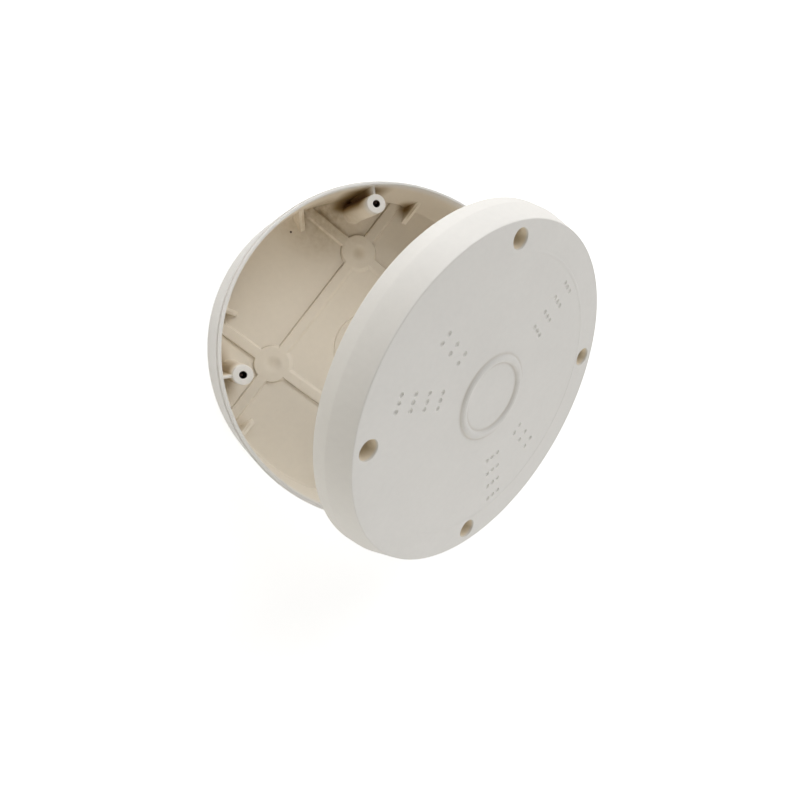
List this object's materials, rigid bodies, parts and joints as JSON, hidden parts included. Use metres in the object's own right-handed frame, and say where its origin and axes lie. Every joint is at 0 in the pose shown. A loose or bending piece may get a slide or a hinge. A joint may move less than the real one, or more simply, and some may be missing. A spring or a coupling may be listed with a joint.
{
  "type": "camera junction box",
  "caption": "Round plastic camera junction box, open on its back, with its screw-down cover leaning on the rim.",
  "frame": {"origin": "centre of the flat back of the box, which lies on the surface", "axes": "+Z out of the mouth of the box, +X towards the side where the loose cover bears on the lip"},
  "size_m": [0.158, 0.1508, 0.1425],
  "materials": {
    "box_plastic": "fine matt moulded ivory plastic",
    "cover_plastic": "fine matt moulded ivory plastic",
    "screw_steel": "bright zinc plating"
  },
  "bodies": {
    "root": {"back_box": "box_plastic", "cover": "cover_plastic", "cover_screw_1": "screw_steel", "cover_screw_2": "screw_steel", "cover_screw_3": "screw_steel", "cover_screw_4": "screw_steel"}
  },
  "joints": []
}
